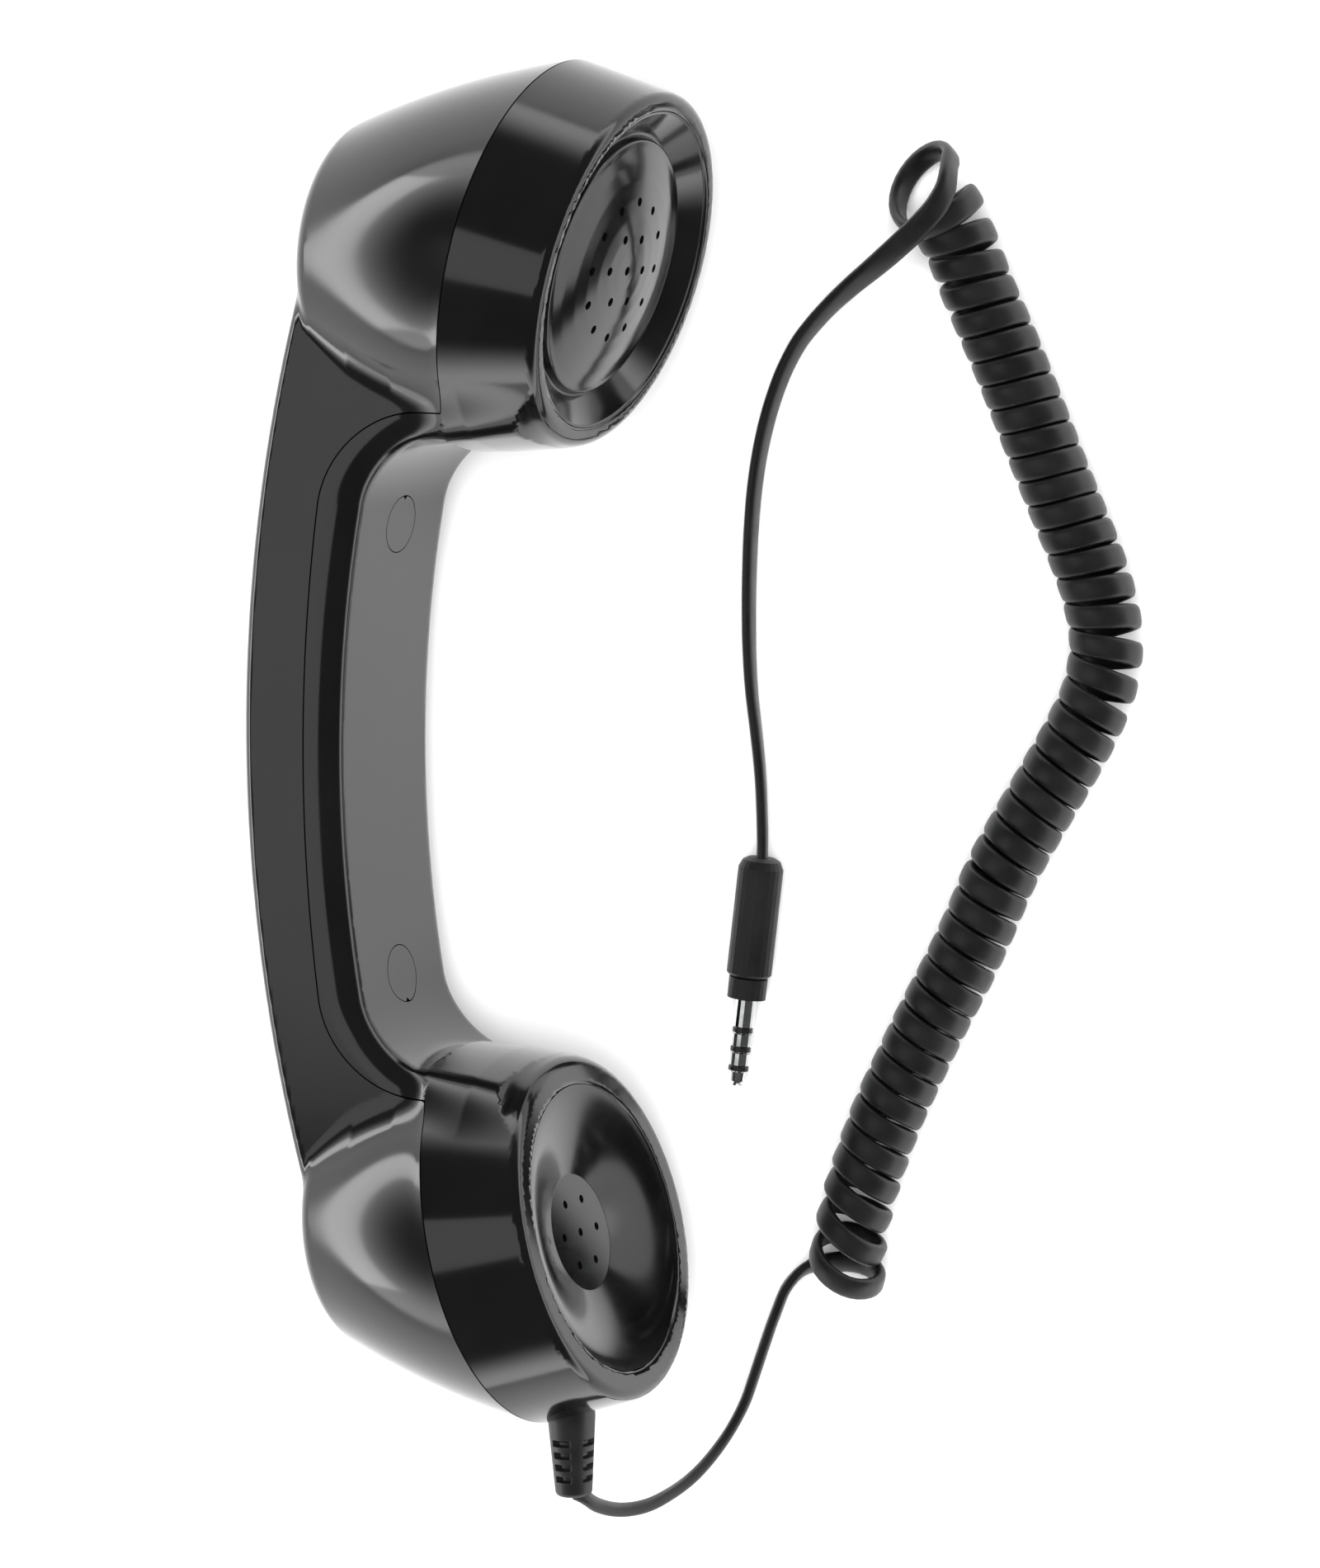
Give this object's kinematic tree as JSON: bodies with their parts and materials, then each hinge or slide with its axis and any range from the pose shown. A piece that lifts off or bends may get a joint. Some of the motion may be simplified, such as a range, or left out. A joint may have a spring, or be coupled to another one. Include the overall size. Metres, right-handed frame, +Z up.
{
  "type": "telephone handset",
  "caption": "Retro telephone handset with earpiece and mouthpiece cups, a flat curly cord and a four-pole 3.5 mm plug, lying on its side.",
  "frame": {"origin": "centre of the footprint box of the handset and its strain relief, on the surface that it lies on; the cord and plug are left out of that box", "axes": "+Y runs along the handset from mouthpiece to earpiece, +X is across it towards the side that the cups face, +Z is up; the handset's own mid-plane leans back 20 degrees about Y, as it rests on the cones of its two heads"},
  "size_m": [0.1476, 0.2449, 0.0648],
  "materials": {
    "shell": "polished moulding",
    "inner_plastic": "satin moulding",
    "soft_rubber": "satin",
    "cord": "satin PVC sheath",
    "plug_plastic": "satin moulding",
    "contact": "polished plating",
    "steel": "zinc plated",
    "ferrite": "as pressed",
    "foam": "open cell foam and felt",
    "film": "thin film",
    "copper": "enamelled winding",
    "lead_red": "PVC lead",
    "lead_blue": "PVC lead"
  },
  "bodies": {
    "root": {"front_shell": "shell", "back_shell": "shell", "earpiece_dish": "shell", "receiver_gasket": "foam", "receiver_frame": "inner_plastic", "receiver_diaphragm": "film", "receiver_voice_coil": "copper", "receiver_yoke": "steel", "receiver_magnet": "ferrite", "receiver_pole_plate": "steel", "mouthpiece_funnel": "shell", "microphone_felt": "foam", "microphone_capsule": "steel", "microphone_holder": "soft_rubber", "screw_ear": "steel", "screw_cover_ear": "shell", "screw_mouth": "steel", "screw_cover_mouth": "shell", "balance_weight": "steel", "receiver_leads": "lead_red", "microphone_leads": "lead_blue", "strain_relief": "soft_rubber", "cord_lower": "cord", "cord_coil": "cord", "cord_upper": "cord", "plug_barrel": "plug_plastic", "plug_collar": "plug_plastic", "plug_sleeve": "contact", "plug_insulator_1": "plug_plastic", "plug_ring_2": "contact", "plug_insulator_2": "plug_plastic", "plug_ring_1": "contact", "plug_insulator_3": "plug_plastic", "plug_tip": "contact"}
  },
  "joints": []
}
